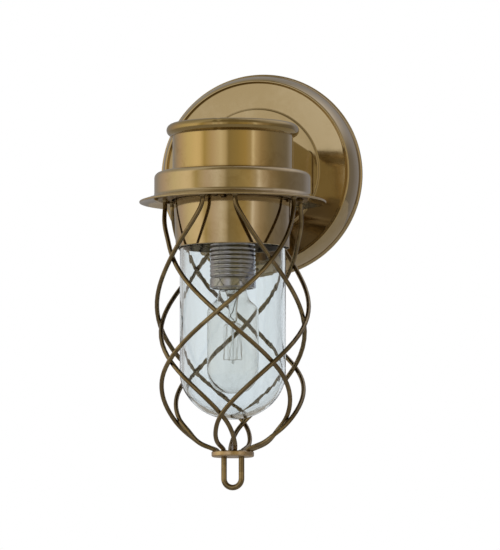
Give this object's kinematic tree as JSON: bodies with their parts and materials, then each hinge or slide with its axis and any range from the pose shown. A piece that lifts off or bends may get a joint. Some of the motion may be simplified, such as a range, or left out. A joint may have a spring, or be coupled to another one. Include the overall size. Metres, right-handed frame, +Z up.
{
  "type": "wall-mounted ship lantern",
  "caption": "Wall lantern in aged brass with a round backplate, a drum head with a brim, a clear glass jar over a tubular bulb and a crossed wire guard with a bottom loop.",
  "frame": {"origin": "centre of the backplate on the wall plane, midway between the two wall holes", "axes": "+Z up, +Y into the wall, +X to the right of someone facing the wall; the lantern hangs out along -Y and down along -Z"},
  "size_m": [0.182, 0.2335, 0.381],
  "materials": {
    "antique_brass": "aged brass, polished and lacquered",
    "dark_brass": "unpolished dark brass",
    "wire_brass": "dark patinated brass",
    "zinc_steel": "zinc plated",
    "grey_metal": "satin grey metal",
    "nickel_cap": "nickel-grey lamp cap",
    "bright_brass": "bright brass",
    "black_rubber": "matt black rubber",
    "white_plastic": "matt",
    "white_ceramic": "fired steatite",
    "brown_insulation": "silicone insulation",
    "blue_insulation": "silicone insulation",
    "green_insulation": "silicone insulation",
    "contact_solder": "solder on black glass",
    "bulb_glass": "clear",
    "jar_glass": "clear, faintly blue",
    "tungsten": "drawn wire"
  },
  "bodies": {
    "wall_lantern": {"backplate": "antique_brass", "neck_base": "antique_brass", "wall_bracket": "zinc_steel", "wall_gasket": "black_rubber", "cover_screw": "dark_brass", "earth_screw": "bright_brass", "terminal_block": "white_plastic", "terminal_screws": "zinc_steel", "neck": "antique_brass", "neck_bolts": "zinc_steel", "neck_nuts": "zinc_steel", "head_shell": "antique_brass", "head_cap": "antique_brass", "bead_ring": "antique_brass", "skirt": "antique_brass", "head_floor": "dark_brass", "collar": "antique_brass", "collar_screws": "zinc_steel", "collar_seal": "black_rubber", "cage_studs": "dark_brass", "holder_strap": "zinc_steel", "holder_nipple": "zinc_steel", "nipple_nuts": "zinc_steel", "lampholder_shell": "grey_metal", "lampholder_insert": "white_ceramic", "screw_shell": "bright_brass", "centre_contact": "bright_brass", "live_lead": "brown_insulation", "neutral_lead": "blue_insulation", "earth_lead": "green_insulation"},
    "guard_carrier": {"guard_washer": "black_rubber"},
    "guard": {"cage_ring": "dark_brass", "cage_wire_1": "wire_brass", "cage_wire_2": "wire_brass", "cage_wire_3": "wire_brass", "cage_wire_4": "wire_brass", "cage_wire_5": "wire_brass", "cage_wire_6": "wire_brass", "cage_wire_7": "wire_brass", "cage_wire_8": "wire_brass", "cage_disc": "wire_brass", "cage_loop": "wire_brass"},
    "jar_carrier": {"jar_gasket": "black_rubber"},
    "jar": {"glass_jar": "jar_glass"},
    "bulb_carrier": {"bulb_tip": "contact_solder"},
    "bulb": {"bulb_cap": "nickel_cap", "bulb_glass": "bulb_glass", "bulb_stem": "bulb_glass", "filament": "tungsten"}
  },
  "joints": [
    {"name": "guard_drop", "type": "slide", "parent": "wall_lantern", "child": "guard_carrier", "axis": [0, 0, -1], "range_m": [0, 0.26]},
    {"name": "guard_twist", "type": "hinge", "parent": "guard_carrier", "child": "guard", "pos_m": [0, -0.152, -0.0373], "axis": [0, 0, 1], "range_deg": [0, 7]},
    {"name": "jar_lower", "type": "slide", "parent": "wall_lantern", "child": "jar_carrier", "axis": [0, 0, -1], "range_m": [0, 0.01]},
    {"name": "jar_unscrew", "type": "hinge", "parent": "jar_carrier", "child": "jar", "pos_m": [0, -0.152, -0.052], "axis": [0, 0, -1], "range_deg": [0, 720]},
    {"name": "bulb_lower", "type": "slide", "parent": "wall_lantern", "child": "bulb_carrier", "axis": [0, 0, -1], "range_m": [0, 0.01089]},
    {"name": "bulb_unscrew", "type": "hinge", "parent": "bulb_carrier", "child": "bulb", "pos_m": [0, -0.152, -0.094], "axis": [0, 0, -1], "range_deg": [0, 1080]}
  ],
  "couplings": [
    {"joint": "jar_unscrew", "follows": "jar_lower", "rad_per_m": 1256.6},
    {"joint": "bulb_unscrew", "follows": "bulb_lower", "rad_per_m": 1730.9}
  ]
}
